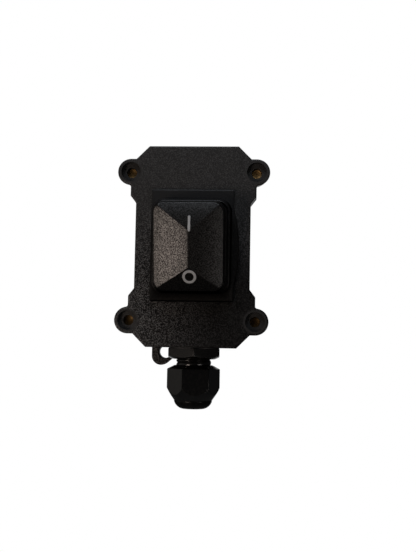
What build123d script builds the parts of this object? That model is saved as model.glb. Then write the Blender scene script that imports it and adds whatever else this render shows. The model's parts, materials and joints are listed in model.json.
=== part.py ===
import math
import os

from build123d import *

# Weatherproof rocker light switch, sizes in millimetres.
# The wall is the plane y = 0, the front looks along -Y, +Z is up and the gland points down.
# A sketch on Plane.XZ has X across and Z up, and its offset is the height above the wall.

# Front cover
cover_face = 34.0
cover_depth = 6.5
face_wall = 2.5
half_high = 33.7
half_waist = 19.2
corner_cut = 4.2
shoulder_out = 1.9
shoulder_below = 16.9
shoulder_high = 2.5
ear_x = 21.1
ear_below = 8.8
ear_r = 4.55
ear_draft = 8.4
ear_root = 0.8
edge_round = 0.6
screw_head_r = 3.3
screw_head_depth = 2.2
screw_hole_r = 1.75

# Rear box
box_inset = 0.5
box_draft = 1.0
box_wall = 2.2
post_r = 3.5
post_long = 5.7
post_draft = 9.0
web_wide = 3.0
insert_r = 2.0
insert_long = 5.0
insert_proud = 2.4
insert_bore_r = 1.25
insert_bore_deep = 4.2
lug_x = -13.14
lug_drop = 3.86
lug_r = 3.37
lug_thick = 3.5
lug_hole_r = 2.25
lug_hole_in = 1.57
lug_hole_up = 1.46
lug_sink = 0.5
lug_flank = 13.2
lug_root = 2.85
wall_boss_r = 3.5
wall_boss_gap = 0.5
wall_boss_high = 1.2
gland_pad_side = 20.5
gland_pad_round = 3.0
gland_pad_high = 1.2

# Cover seal, in a groove of each rim
seal_wide = 1.2
seal_in = 1.0
seal_high = 1.4
seal_in_cover = 0.5

# Cable gland, below the box
gland_behind = 17.0
gland_washer_high = 0.8
gland_hex_flats = 17.6
gland_hex_high = 3.7
gland_hex_turn = 34
gland_hex_cone = 2.6
gland_hex_cone_high = 1.15
gland_thread_r = 6.1
gland_thread_long = 7.3
gland_thread_free = 2.2
gland_thread_end = 0.6
gland_entry_r = 6.25
gland_entry_long = 8.7
gland_bore_r = 4.7
gland_neck_r = 3.9
gland_neck_below = 1.3
cable_r = 3.25
nut_flats = 16.0
nut_turn = 9
nut_hex_high = 7.8
nut_top_cone = 2.5
nut_top_cone_high = 1.3
nut_taper_high = 4.2
nut_taper_r = 6.65
nut_dome_high = 2.95
nut_dome_out = 1.1
nut_mouth_r = 3.6
nut_bore_below = 1.8
nut_cone_wide = 1.3
nut_cone_gap = 0.7
claw_long = 5.5
claw_ring = 1.5
claw_wall = 0.9
claw_tip_wall = 0.25
claw_slots = 8
claw_slot_wide = 0.8
claw_slot_reach = 3.0
locknut_flats = 18.0
locknut_high = 4.0
locknut_low_cone = 0.4
locknut_top_cone = 1.3
locknut_cone_high = 0.6
run_gap = 0.05

# Rocker boot
flange_wide = 27.5
flange_long = 37.3
flange_high = 1.5
flange_bow = 1.8
bow_from_top = 6.5
bow_from_bottom = 4.9
lip_high = 1.2
boot_wall = 1.0
ledge_wall = 0.8
bead_wide = 25.6
bead_long = 30.7
bead_round = 4.0
bead_height = 5.1
bead_shift = -0.83
bead_tilt = 4.0
bead_flare = 0.1
bead_lean = 0.15
cap_wide = 22.6
cap_long = 28.4
cap_round = 3.4
cap_flare = 0.1
cap_lean = 0.4
cap_base_up = 0.5
skin_lap = 0.3
rim_height = 8.4
roof_rise = 2.8
ridge_long = 11.7
ridge_shift = -0.55
ridge_wide = 0.5
ridge_round = 0.23
ridge_lean = 0.1

# Switch inside the boot and the box
window_wide = 20.0
window_long = 25.6
window_round = 0.8
window_gap = 0.2
bezel_side_gap = 0.15
bezel_end_gap = 0.65
bezel_high = 1.6
bezel_round = 3.0
housing_wall = 1.4
housing_deep = 14.0
housing_floor = 1.6
clip_out = 0.9
clip_high = 2.4
clip_wide = 6.0
pivot_height = 3.8
rest_tilt = 12.0
trunnion_r = 1.45
cheek_r = 3.0
rocker_under = 3.4
rocker_gap = 0.2
roof_gap = 0.1
rocker_ridge_in = 0.3
trunnion_end_gap = 0.1
hub_gap = 0.5
hub_half_long = 6.5
hub_deep = 3.2
pole_side_gap = 1.05
partition_wide = 0.8
partition_high = 8.0
plunger_r = 1.52
plunger_bore_r = 1.6
plunger_bore_top = 4.6
plunger_tip = -9.3
plunger_top = -0.6
spring_wire_r = 0.2
spring_coil_r = 1.22
spring_turns = 4

# Contacts and terminals
lever_tilt = 5.0
lever_end_gap = 2.6
lever_wide = 3.4
lever_thick = 0.8
lever_seat_r = 0.66
lever_under = 0.25
lever_free = 0.06
saddle_r = 0.6
contact_r = 1.4
contact_high = 0.7
contact_in = 1.2
contact_gap = 0.04
blade_wide = 6.3
blade_thick = 0.8
blade_end = -21.5
blade_hole_r = 0.8
blade_hole_in = 3.0
load_end_gap = 1.0
tab_lap = 0.4
tab_wide = 4.4

# Closeness used to pick edges, and the placing of a cone by its lower end
near = 0.1
upright = (Align.CENTER, Align.CENTER, Align.MIN)

# Sizes that follow from the ones above
parting = cover_face - cover_depth
cavity_in = box_inset + box_wall
floor_plane = box_wall
gland_out = cover_face - gland_behind
box_bottom = -(half_high - box_inset)
lug_z = box_bottom - lug_drop
lug_root_z = box_bottom + lug_root
lug_hole = (lug_x + lug_hole_in, lug_z + lug_hole_up)
wall_hole = (-lug_hole[0], half_high - cavity_in - wall_boss_gap - wall_boss_r)
inner_bottom = -(half_high - cavity_in)
shoulder_x = half_waist + shoulder_out
ear_back_r = ear_r - cover_depth * math.tan(math.radians(ear_draft))
shoulder_top = half_high - shoulder_below
shoulder_bottom = shoulder_top - shoulder_high
ear_z = half_high - ear_below
ear_top = ear_z + ear_r
ear_back_top = ear_z + ear_back_r
post_end_r = post_r - post_long * math.tan(math.radians(post_draft))
half_edge = half_waist - corner_cut
ear_flat = half_edge + half_high - ear_top
pivot_out = cover_face + pivot_height
lever_axis = pivot_height + plunger_tip - lever_free - lever_under - lever_thick
tilt_sin = math.sin(math.radians(rest_tilt))
tilt_cos = math.cos(math.radians(rest_tilt))
housing_wide = window_wide - 2 * window_gap
housing_long = window_long - 2 * window_gap
opening_wide = housing_wide - 2 * housing_wall
opening_long = housing_long - 2 * housing_wall
bezel_wide = bead_wide - 2 * boot_wall - 2 * bezel_side_gap
bezel_long = bead_long - 2 * boot_wall - 2 * bezel_end_gap
hub_half_wide = opening_wide / 2 - hub_gap
pole_x = opening_wide / 2 - pole_side_gap - blade_wide / 2
lever_half = opening_long / 2 - lever_end_gap
contact_reach = lever_half - contact_in
load_z = load_end_gap - opening_long / 2
tab_end = contact_r + tab_lap - contact_reach
cheek_out = housing_wide / 2
floor_top = housing_floor - housing_deep
ear_places = [(-ear_x, ear_z), (ear_x, ear_z), (-ear_x, -ear_z), (ear_x, -ear_z)]
web_in = half_waist - box_inset - box_wall / 2
web_x = (web_in + ear_x) / 2
web_places = [(-web_x, ear_z), (web_x, ear_z), (-web_x, -ear_z), (web_x, -ear_z)]
pole_places = [(-pole_x, 0), (pole_x, 0)]

# Planes of the moving parts at rest, with the lower end of the rocker pressed in
rocker_plane = Plane(
    origin=(0, -pivot_out, 0), x_dir=(1, 0, 0), z_dir=(0, -tilt_cos, -tilt_sin)
)
bead_sin = math.sin(math.radians(bead_tilt))
bead_cos = math.cos(math.radians(bead_tilt))
bead_plane = Plane(
    origin=(0, -(cover_face + bead_height), bead_shift),
    x_dir=(1, 0, 0),
    z_dir=(0, -bead_cos, -bead_sin),
)


def chamfered(inset):
    """Corners of the box outline without its ears, moved inwards by inset."""
    wide = half_waist - inset
    high = half_high - inset
    cut = corner_cut - (2 - math.sqrt(2)) * inset
    side = [(wide - cut, high), (wide, high - cut), (wide, cut - high), (wide - cut, -high)]
    return side + [(-x, z) for x, z in reversed(side)]


def cover_corners():
    """Corners of the cover outline with its shoulders, without the ears."""
    quarter = [
        (half_edge, half_high),
        (shoulder_x, half_high + half_edge - shoulder_x),
        (shoulder_x, shoulder_top),
        (half_waist, shoulder_bottom),
    ]
    side = quarter + [(x, -z) for x, z in reversed(quarter)]
    return side + [(-x, z) for x, z in reversed(side)]


# Cover, a shallow tray with counterbored, tapering ears and a window for the switch
with BuildPart() as front_cover:
    with BuildSketch(Plane.XZ.offset(parting)):
        Polygon((ear_flat, ear_back_top), (ear_x, ear_back_top), (ear_x, ear_z), align=None)
    with BuildSketch(Plane.XZ.offset(cover_face)):
        Polygon((ear_flat, ear_top), (ear_x, ear_top), (ear_x, ear_z), align=None)
    loft(ruled=True)
    mirror(about=Plane.YZ)
    mirror(about=Plane.XY)
    with BuildSketch(Plane.XZ.offset(parting)):
        Polygon(*cover_corners(), align=None)
    extrude(amount=cover_depth)
    with Locations(Plane.XZ.offset(parting)):
        with GridLocations(2 * ear_x, 2 * ear_z, 2, 2):
            Cone(ear_back_r, ear_r, cover_depth, align=upright)
    root_z = ear_z - ear_r
    roots = front_cover.edges().filter_by(lambda e: abs(abs(e.center().X) - shoulder_x) < near)
    roots = roots.filter_by(lambda e: root_z < abs(e.center().Z) < ear_z)
    fillet(roots, radius=ear_root)
    fillet(front_cover.faces().sort_by(Axis.Y)[0].edges(), radius=edge_round)
    with BuildSketch(Plane.XZ.offset(parting)):
        Polygon(*chamfered(cavity_in), align=None)
    extrude(amount=cover_depth - face_wall, mode=Mode.SUBTRACT)
    with BuildSketch(Plane.XZ.offset(parting)):
        Polygon(*chamfered(seal_in), align=None)
        Polygon(*chamfered(seal_in + seal_wide), align=None, mode=Mode.SUBTRACT)
    extrude(amount=seal_in_cover, mode=Mode.SUBTRACT)
    with BuildSketch(Plane.XZ.offset(cover_face)):
        with Locations(*ear_places):
            Circle(screw_head_r)
    extrude(amount=-screw_head_depth, mode=Mode.SUBTRACT)
    with BuildSketch(Plane.XZ.offset(cover_face)):
        with Locations(*ear_places):
            Circle(screw_hole_r)
        RectangleRounded(window_wide, window_long, window_round)
    extrude(amount=-cover_depth, mode=Mode.SUBTRACT)
    with BuildSketch(Plane.XZ.offset(parting)):
        with Locations(*ear_places):
            Circle(insert_r + run_gap)
    extrude(amount=insert_proud + run_gap, mode=Mode.SUBTRACT)

# Rear box, with insert posts outside the seal, a pad for the gland and the fixing lug
back_inset = box_inset + parting * math.tan(math.radians(box_draft))
with BuildPart() as rear_box:
    with BuildSketch(Plane.XZ):
        Polygon(*chamfered(back_inset), align=None)
    with BuildSketch(Plane.XZ.offset(parting)):
        Polygon(*chamfered(box_inset), align=None)
    loft(ruled=True)
    with Locations(Plane.XZ.offset(parting - post_long)):
        with GridLocations(2 * ear_x, 2 * ear_z, 2, 2):
            Cone(post_end_r, post_r, post_long, align=upright)
    with BuildSketch(Plane.XZ.offset(parting)):
        with Locations(*web_places):
            Rectangle(ear_x - web_in, web_wide)
    extrude(amount=-post_long)
    with BuildSketch(Plane.XY.offset(box_bottom)):
        with Locations((0, -gland_out)):
            RectangleRounded(gland_pad_side, gland_pad_side, gland_pad_round)
    extrude(amount=gland_pad_high)
    with BuildSketch(Plane.XZ):
        with Locations((lug_x, lug_z)):
            Circle(lug_r)
        with BuildLine():
            Line((lug_x - lug_r, lug_root_z), (lug_x + lug_flank, lug_root_z))
        make_hull()
    extrude(amount=lug_thick)
    with BuildSketch(Plane.XZ.offset(floor_plane)):
        Polygon(*chamfered(cavity_in), align=None)
    extrude(amount=parting - floor_plane, mode=Mode.SUBTRACT)
    with BuildSketch(Plane.XZ.offset(floor_plane)):
        with Locations(wall_hole):
            Circle(wall_boss_r)
    extrude(amount=wall_boss_high)
    with BuildSketch(Plane.XZ.offset(lug_thick)):
        with Locations(lug_hole, wall_hole):
            Circle(lug_hole_r)
    extrude(amount=-lug_thick, mode=Mode.SUBTRACT)
    rims = rear_box.edges().filter_by(GeomType.CIRCLE)
    rims = rims.filter_by(lambda e: abs(e.radius - lug_hole_r) < near)
    rims = rims.filter_by(lambda e: abs(e.center().Y + lug_thick) < near)
    chamfer(rims, length=lug_sink)
    with BuildSketch(Plane.XZ.offset(parting)):
        Polygon(*chamfered(seal_in), align=None)
        Polygon(*chamfered(seal_in + seal_wide), align=None, mode=Mode.SUBTRACT)
    extrude(amount=seal_in_cover - seal_high, mode=Mode.SUBTRACT)
    with BuildSketch(Plane.XZ.offset(parting)):
        with Locations(*ear_places):
            Circle(insert_r)
    extrude(amount=-insert_long, mode=Mode.SUBTRACT)
    with BuildSketch(Plane.XY.offset(box_bottom)):
        with Locations((0, -gland_out)):
            Circle(gland_entry_r + run_gap)
    extrude(amount=box_wall + gland_pad_high, mode=Mode.SUBTRACT)

# Seal, filling both grooves
with BuildPart() as cover_seal:
    with BuildSketch(Plane.XZ.offset(parting + seal_in_cover)):
        Polygon(*chamfered(seal_in), align=None)
        Polygon(*chamfered(seal_in + seal_wide), align=None, mode=Mode.SUBTRACT)
    extrude(amount=-seal_high)

# Threaded inserts, closed at the bottom and standing proud into the cover's ears, which they centre
with BuildPart() as brass_inserts:
    with BuildSketch(Plane.XZ.offset(parting + insert_proud)):
        with Locations(*ear_places):
            Circle(insert_r)
    extrude(amount=-insert_proud - insert_long)
    with BuildSketch(Plane.XZ.offset(parting + insert_proud)):
        with Locations(*ear_places):
            Circle(insert_bore_r)
    extrude(amount=-insert_proud - insert_bore_deep, mode=Mode.SUBTRACT)

# Rubber boot: flange, bead and cap, shown with the rocker's lower end pressed
bow_top = flange_long / 2 - bow_from_top
bow_bottom = bow_from_bottom - flange_long / 2
bead_base = (bead_wide + 2 * bead_flare, bead_long + 2 * bead_flare)
bead_hollow = (bead_wide - 2 * boot_wall, bead_long - 2 * boot_wall)
cap_base = (cap_wide + 2 * cap_flare, cap_long)
cap_base_hollow = (cap_wide + 2 * cap_flare - 2 * boot_wall, cap_long - 2 * boot_wall)
cap_hollow = (cap_wide - 2 * boot_wall, cap_long - 2 * boot_wall)
hollow_round = cap_round - boot_wall
with BuildPart() as rocker_boot:
    with BuildSketch(Plane.XZ.offset(cover_face)):
        with BuildLine():
            Polyline(
                (flange_wide / 2, bow_top),
                (flange_wide / 2, flange_long / 2),
                (-flange_wide / 2, flange_long / 2),
                (-flange_wide / 2, -flange_long / 2),
                (flange_wide / 2, -flange_long / 2),
                (flange_wide / 2, bow_bottom),
            )
            ThreePointArc(
                (flange_wide / 2, bow_bottom),
                (flange_wide / 2 + flange_bow, (bow_top + bow_bottom) / 2),
                (flange_wide / 2, bow_top),
            )
        make_face()
    extrude(amount=flange_high)
    with BuildSketch(Plane.XZ.offset(cover_face + lip_high)):
        with Locations((-bead_lean, 0)):
            RectangleRounded(*bead_base, bead_round)
    with BuildSketch(bead_plane):
        with Locations((-bead_lean, 0)):
            RectangleRounded(bead_wide, bead_long, bead_round)
    loft()
    with BuildSketch(bead_plane.offset(-ledge_wall / 2)):
        with Locations((-bead_lean, cap_base_up)):
            RectangleRounded(*cap_base, cap_round)
    with BuildSketch(rocker_plane.offset(rim_height)):
        with Locations((-cap_lean, 0)):
            RectangleRounded(cap_wide, cap_long, cap_round)
    loft()
    with BuildSketch(rocker_plane.offset(rim_height)):
        with Locations((-cap_lean, 0)):
            RectangleRounded(cap_wide, cap_long, cap_round)
    with BuildSketch(rocker_plane.offset(rim_height + roof_rise)):
        with Locations((-ridge_lean, ridge_shift)):
            RectangleRounded(ridge_wide, ridge_long, ridge_round)
    loft(ruled=True)
    with BuildSketch(Plane.XZ.offset(cover_face)):
        RectangleRounded(window_wide, window_long, window_round)
    extrude(amount=flange_high, mode=Mode.SUBTRACT)
    with BuildSketch(Plane.XZ.offset(cover_face + lip_high)):
        RectangleRounded(*bead_hollow, bezel_round)
    with BuildSketch(bead_plane.offset(-ledge_wall)):
        RectangleRounded(*bead_hollow, bezel_round)
    loft(mode=Mode.SUBTRACT)
    with BuildSketch(bead_plane.offset(-ledge_wall - skin_lap)):
        with Locations((0, cap_base_up)):
            RectangleRounded(*cap_base_hollow, hollow_round)
    with BuildSketch(rocker_plane.offset(rim_height - skin_lap)):
        RectangleRounded(*cap_hollow, hollow_round)
    loft(mode=Mode.SUBTRACT)
    with BuildSketch(rocker_plane.offset(rim_height - skin_lap)):
        RectangleRounded(*cap_hollow, hollow_round)
    with BuildSketch(rocker_plane.offset(rim_height + roof_rise - boot_wall)):
        with Locations((0, ridge_shift)):
            RectangleRounded(ridge_wide, ridge_long, ridge_round)
    loft(ruled=True, mode=Mode.SUBTRACT)

# Rocker under the boot, with its hub, trunnions and two plunger bores
block_wide = cap_wide - 2 * boot_wall - 2 * rocker_gap
block_long = cap_long - 2 * boot_wall - 4 * rocker_gap
block_top = rim_height - skin_lap - roof_gap
with BuildPart() as rocker:
    with BuildSketch(rocker_plane.offset(rocker_under)):
        RectangleRounded(block_wide, block_long, hollow_round)
    extrude(amount=block_top - rocker_under)
    with BuildSketch(rocker_plane.offset(block_top)):
        RectangleRounded(block_wide, block_long, hollow_round)
    with BuildSketch(rocker_plane.offset(rim_height + roof_rise - boot_wall - roof_gap)):
        with Locations((0, ridge_shift)):
            RectangleRounded(ridge_wide, ridge_long - 2 * rocker_ridge_in, ridge_round)
    loft(ruled=True)
    with BuildSketch(rocker_plane.offset(-hub_deep)):
        Rectangle(2 * hub_half_wide, 2 * hub_half_long)
    extrude(amount=hub_deep + rocker_under)
    with BuildSketch(Plane.YZ.offset(trunnion_end_gap - cheek_out)):
        with Locations((-pivot_out, 0)):
            Circle(trunnion_r)
    extrude(amount=2 * (cheek_out - trunnion_end_gap))
    with BuildSketch(rocker_plane.offset(-hub_deep)):
        with Locations(*pole_places):
            Circle(plunger_bore_r)
    extrude(amount=hub_deep + plunger_bore_top, mode=Mode.SUBTRACT)

# Switch housing, clipped into the window of the cover
with BuildPart() as switch_housing:
    with BuildSketch(Plane.XZ.offset(cover_face + lip_high)):
        RectangleRounded(bezel_wide, bezel_long, bezel_round)
    extrude(amount=bezel_high)
    with BuildSketch(Plane.XZ.offset(cover_face - housing_deep)):
        RectangleRounded(housing_wide, housing_long, window_round - window_gap)
    extrude(amount=housing_deep + lip_high)
    with BuildSketch(Plane.YZ.offset(-cheek_out)):
        with Locations((-pivot_out, 0)):
            Circle(cheek_r)
        with Locations((-pivot_out + pivot_height / 2, 0)):
            Rectangle(pivot_height, 2 * cheek_r)
    extrude(amount=2 * cheek_out)
    with BuildSketch(Plane.XZ.offset(cover_face + floor_top)):
        Rectangle(opening_wide, opening_long)
    extrude(amount=pivot_height + cheek_r - floor_top, mode=Mode.SUBTRACT)
    with BuildSketch(Plane.YZ.offset(-cheek_out)):
        with Locations((-pivot_out, 0)):
            Circle(trunnion_r + run_gap)
    extrude(amount=2 * cheek_out, mode=Mode.SUBTRACT)
    with BuildSketch(Plane.XZ.offset(cover_face + floor_top)):
        Rectangle(partition_wide, opening_long)
    extrude(amount=partition_high)
    clip_z = housing_long / 2
    clip_y = face_wall - cover_face
    with BuildSketch(Plane.YZ.offset(-clip_wide / 2)):
        Polygon((clip_y, clip_z), (clip_y, clip_z + clip_out), (clip_y + clip_high, clip_z), align=None)
        Polygon((clip_y, -clip_z), (clip_y, -clip_z - clip_out), (clip_y + clip_high, -clip_z), align=None)
    extrude(amount=clip_wide)
    with BuildSketch(Plane.XZ.offset(cover_face - housing_deep)):
        with Locations(*pole_places, (-pole_x, load_z), (pole_x, load_z)):
            Rectangle(blade_wide, blade_thick)
    extrude(amount=housing_floor, mode=Mode.SUBTRACT)

# Cable gland, turned about a vertical axis below the box
gland_axis = Axis((0, -gland_out, 0), (0, 0, 1))
gland_plane = Plane.XZ.offset(gland_out)
washer_end = box_bottom - gland_washer_high
gland_hex_end = washer_end - gland_hex_high
gland_body_end = gland_hex_end - gland_thread_long
gland_seat = gland_hex_end - gland_neck_below
gland_entry_top = box_bottom + gland_entry_long
claw_end = gland_body_end - claw_long
hex_r = gland_hex_flats / math.sqrt(3)
with BuildPart() as gland_body:
    with BuildSketch(Plane.XY.offset(gland_hex_end)):
        with Locations((0, -gland_out)):
            RegularPolygon(hex_r, 6, rotation=gland_hex_turn)
    extrude(amount=washer_end - gland_hex_end)
    with BuildSketch(gland_plane):
        Polygon(
            (0, gland_hex_end),
            (hex_r - gland_hex_cone, gland_hex_end),
            (hex_r, gland_hex_end + gland_hex_cone_high),
            (hex_r, washer_end),
            (0, washer_end),
            align=None,
        )
    revolve(axis=gland_axis, mode=Mode.INTERSECT)
    with BuildSketch(gland_plane):
        Polygon(
            (0, gland_body_end),
            (gland_thread_r - gland_thread_end, gland_body_end),
            (gland_thread_r, gland_body_end + gland_thread_end),
            (gland_thread_r, gland_hex_end),
            (gland_entry_r, washer_end),
            (gland_entry_r, gland_entry_top - gland_thread_end),
            (gland_entry_r - gland_thread_end, gland_entry_top),
            (0, gland_entry_top),
            align=None,
        )
    revolve(axis=gland_axis)
    with BuildSketch(gland_plane):
        Polygon(
            (0, gland_body_end),
            (gland_bore_r, gland_body_end),
            (gland_bore_r, gland_seat),
            (gland_neck_r, gland_seat),
            (gland_neck_r, gland_entry_top),
            (0, gland_entry_top),
            align=None,
        )
    revolve(axis=gland_axis, mode=Mode.SUBTRACT)

nut_r = nut_flats / math.sqrt(3)
nut_top = gland_hex_end - gland_thread_free
nut_hex_end = nut_top - nut_hex_high
nut_taper_end = nut_hex_end - nut_taper_high
nut_end = nut_taper_end - nut_dome_high
nut_bore_r = gland_thread_r + run_gap
with BuildPart() as gland_nut:
    with BuildSketch(Plane.XY.offset(nut_end)):
        with Locations((0, -gland_out)):
            RegularPolygon(nut_r, 6, rotation=nut_turn)
    extrude(amount=nut_top - nut_end)
    with BuildSketch(gland_plane):
        with BuildLine():
            Polyline(
                (nut_mouth_r, nut_end),
                (0, nut_end),
                (0, nut_top),
                (nut_r - nut_top_cone, nut_top),
                (nut_r, nut_top - nut_top_cone_high),
                (nut_r, nut_hex_end),
                (nut_taper_r, nut_taper_end),
            )
            ThreePointArc(
                (nut_taper_r, nut_taper_end),
                ((nut_taper_r + nut_mouth_r) / 2 + nut_dome_out, (nut_taper_end + nut_end) / 2),
                (nut_mouth_r, nut_end),
            )
        make_face()
    revolve(axis=gland_axis, mode=Mode.INTERSECT)
    with BuildSketch(gland_plane):
        Polygon(
            (0, nut_top),
            (nut_bore_r, nut_top),
            (nut_bore_r, gland_body_end - nut_bore_below),
            (nut_mouth_r + nut_cone_wide, claw_end - nut_cone_gap),
            (nut_mouth_r, claw_end - nut_cone_gap),
            (nut_mouth_r, nut_end),
            (0, nut_end),
            align=None,
        )
    revolve(axis=gland_axis, mode=Mode.SUBTRACT)

with BuildPart() as gland_seal:
    with BuildSketch(gland_plane):
        Polygon(
            (cable_r, gland_seat),
            (gland_bore_r, gland_seat),
            (gland_bore_r, claw_end),
            (cable_r, claw_end),
            align=None,
        )
    revolve(axis=gland_axis)

claw_in_r = gland_bore_r + run_gap
with BuildPart() as gland_claw:
    with BuildSketch(gland_plane):
        Polygon(
            (claw_in_r, gland_body_end),
            (claw_in_r + claw_wall, gland_body_end),
            (claw_in_r + claw_wall, gland_body_end - claw_ring),
            (claw_in_r + claw_tip_wall, claw_end),
            (claw_in_r, claw_end),
            align=None,
        )
    revolve(axis=gland_axis)
    with BuildSketch(Plane.XY.offset(claw_end)):
        with Locations((0, -gland_out)):
            with PolarLocations(gland_bore_r, claw_slots):
                Rectangle(claw_slot_reach, claw_slot_wide)
    extrude(amount=claw_long - claw_ring, mode=Mode.SUBTRACT)

with BuildPart() as gland_washer:
    with BuildSketch(Plane.XY.offset(washer_end)):
        with Locations((0, -gland_out)):
            Circle(gland_hex_flats / 2)
            Circle(gland_entry_r + run_gap, mode=Mode.SUBTRACT)
    extrude(amount=gland_washer_high)

locknut_r = locknut_flats / math.sqrt(3)
with BuildPart() as gland_locknut:
    with BuildSketch(Plane.XY.offset(inner_bottom)):
        with Locations((0, -gland_out)):
            RegularPolygon(locknut_r, 6)
    extrude(amount=locknut_high)
    with BuildSketch(gland_plane):
        Polygon(
            (0, inner_bottom),
            (locknut_r - locknut_low_cone, inner_bottom),
            (locknut_r - locknut_low_cone, inner_bottom + locknut_high - locknut_cone_high),
            (locknut_r - locknut_top_cone, inner_bottom + locknut_high),
            (0, inner_bottom + locknut_high),
            align=None,
        )
    revolve(axis=gland_axis, mode=Mode.INTERSECT)
    with BuildSketch(Plane.XY.offset(inner_bottom)):
        with Locations((0, -gland_out)):
            Circle(gland_entry_r + run_gap)
    extrude(amount=locknut_high, mode=Mode.SUBTRACT)

os.makedirs("parts", exist_ok=True)
single_parts = {
    "front_cover": front_cover,
    "rear_box": rear_box,
    "cover_seal": cover_seal,
    "brass_inserts": brass_inserts,
    "rocker_boot": rocker_boot,
    "rocker": rocker,
    "switch_housing": switch_housing,
    "gland_body": gland_body,
    "gland_nut": gland_nut,
    "gland_seal": gland_seal,
    "gland_claw": gland_claw,
    "gland_washer": gland_washer,
    "gland_locknut": gland_locknut,
}
for node, single in single_parts.items():
    single.part.label = node
    export_step(single.part, f"parts/{node}.step")

# Two poles, one on each side of the middle
open_angle = math.radians(2 * lever_tilt)
lever_dir = (0, math.sin(math.radians(lever_tilt)), math.cos(math.radians(lever_tilt)))
arm_slope = math.tan(math.radians(lever_tilt))
lever_out = cover_face + lever_axis
arm_along = (0, -math.sin(open_angle), -math.cos(open_angle))
arm_up = (0, -math.cos(open_angle), math.sin(open_angle))
arm_base = lever_under * math.cos(math.radians(lever_tilt))
fixed_top = lever_axis + arm_base - contact_high - contact_gap
tab_top = fixed_top - contact_high
for side, x in (("left", -pole_x), ("right", pole_x)):
    with BuildPart() as plunger:
        with BuildSketch(rocker_plane.offset(plunger_tip + plunger_r)):
            with Locations((x, 0)):
                Circle(plunger_r)
        extrude(amount=plunger_top - plunger_tip - plunger_r)
        with Locations(rocker_plane.offset(plunger_tip + plunger_r) * Location((x, 0, 0))):
            Sphere(plunger_r)
    plunger.part.label = f"plunger_{side}"
    export_step(plunger.part, f"parts/plunger_{side}.step")

    coil_high = plunger_bore_top - plunger_top - 2 * spring_wire_r
    with BuildPart() as spring:
        coil_foot = rocker_plane.from_local_coords(Vector(x, 0, plunger_top + spring_wire_r))
        with BuildLine():
            coil = Helix(
                coil_high / spring_turns,
                coil_high,
                spring_coil_r,
                center=coil_foot,
                direction=rocker_plane.z_dir,
            )
        with BuildSketch(Plane(origin=coil @ 0, z_dir=coil % 0)):
            Circle(spring_wire_r)
        sweep(path=coil)
    spring.part.label = f"spring_{side}"
    export_step(spring.part, f"parts/spring_{side}.step")

    with BuildPart() as lever:
        lever_foot = (x - lever_wide / 2, -lever_out, 0)
        lever_plane = Plane(origin=lever_foot, x_dir=lever_dir, z_dir=(1, 0, 0))
        arm_end = lever_under + lever_half * arm_slope
        with BuildSketch(lever_plane):
            Polygon(
                (0, lever_under),
                (lever_half, arm_end),
                (lever_half, arm_end + lever_thick),
                (0, lever_under + lever_thick),
                (-lever_half, arm_end + lever_thick),
                (-lever_half, arm_end),
                align=None,
            )
            Circle(lever_seat_r, mode=Mode.SUBTRACT)
        extrude(amount=lever_wide)
    lever.part.label = f"lever_{side}"
    export_step(lever.part, f"parts/lever_{side}.step")

    contact_y = -lever_out + arm_along[1] * contact_reach + arm_up[1] * arm_base
    contact_z = arm_along[2] * contact_reach + arm_up[2] * arm_base
    with BuildPart() as lever_contact:
        with BuildSketch(Plane(origin=(x, contact_y, contact_z), x_dir=(1, 0, 0), z_dir=arm_up)):
            Circle(contact_r)
        extrude(amount=-contact_high)
    lever_contact.part.label = f"lever_contact_{side}"
    export_step(lever_contact.part, f"parts/lever_contact_{side}.step")

    with BuildPart() as common_terminal:
        with BuildSketch(Plane.XY):
            with Locations((x, -cover_face - (floor_top + blade_end) / 2)):
                Rectangle(blade_wide, floor_top - blade_end)
            with Locations((x, -cover_face - blade_end - blade_hole_in)):
                Circle(blade_hole_r, mode=Mode.SUBTRACT)
            with Locations((x, -cover_face - (floor_top + lever_axis) / 2)):
                Rectangle(lever_wide, lever_axis - floor_top)
        extrude(amount=blade_thick / 2, both=True)
        with BuildSketch(Plane.YZ.offset(x - lever_wide / 2)):
            with Locations((-lever_out, 0)):
                Circle(saddle_r)
        extrude(amount=lever_wide)
    common_terminal.part.label = f"common_terminal_{side}"
    export_step(common_terminal.part, f"parts/common_terminal_{side}.step")

    with BuildPart() as load_terminal:
        with BuildSketch(Plane.XY.offset(load_z)):
            with Locations((x, -cover_face - (floor_top + blade_end) / 2)):
                Rectangle(blade_wide, floor_top - blade_end)
            with Locations((x, -cover_face - blade_end - blade_hole_in)):
                Circle(blade_hole_r, mode=Mode.SUBTRACT)
            with Locations((x, -cover_face - (floor_top + tab_top) / 2)):
                Rectangle(tab_wide, tab_top - floor_top)
        extrude(amount=blade_thick / 2, both=True)
        with BuildSketch(Plane.XZ.offset(cover_face + tab_top)):
            with Locations((x, (load_z - blade_thick / 2 + tab_end) / 2)):
                Rectangle(tab_wide, tab_end - load_z + blade_thick / 2)
        extrude(amount=-blade_thick)
    load_terminal.part.label = f"load_terminal_{side}"
    export_step(load_terminal.part, f"parts/load_terminal_{side}.step")

    with BuildPart() as load_contact:
        with BuildSketch(Plane.XZ.offset(cover_face + tab_top)):
            with Locations((x, -contact_reach)):
                Circle(contact_r)
        extrude(amount=contact_high)
    load_contact.part.label = f"load_contact_{side}"
    export_step(load_contact.part, f"parts/load_contact_{side}.step")
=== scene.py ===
"""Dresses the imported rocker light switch: moulded case, rubber boot, cable gland, springs, light and camera.

Lengths are millimetres, unless a name ends in _m, in the part's own frame: the wall is y = 0, the front looks
along -Y, +Z is up and the cable gland points down. They become metres where a mesh is made.
"""

import json
import logging
import math
from dataclasses import astuple, dataclass
from enum import Enum
from typing import Union

import bpy
import numpy as np
from bpy.types import Material, NodeSocket, Object, World
from mathutils import Matrix, Vector


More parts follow.
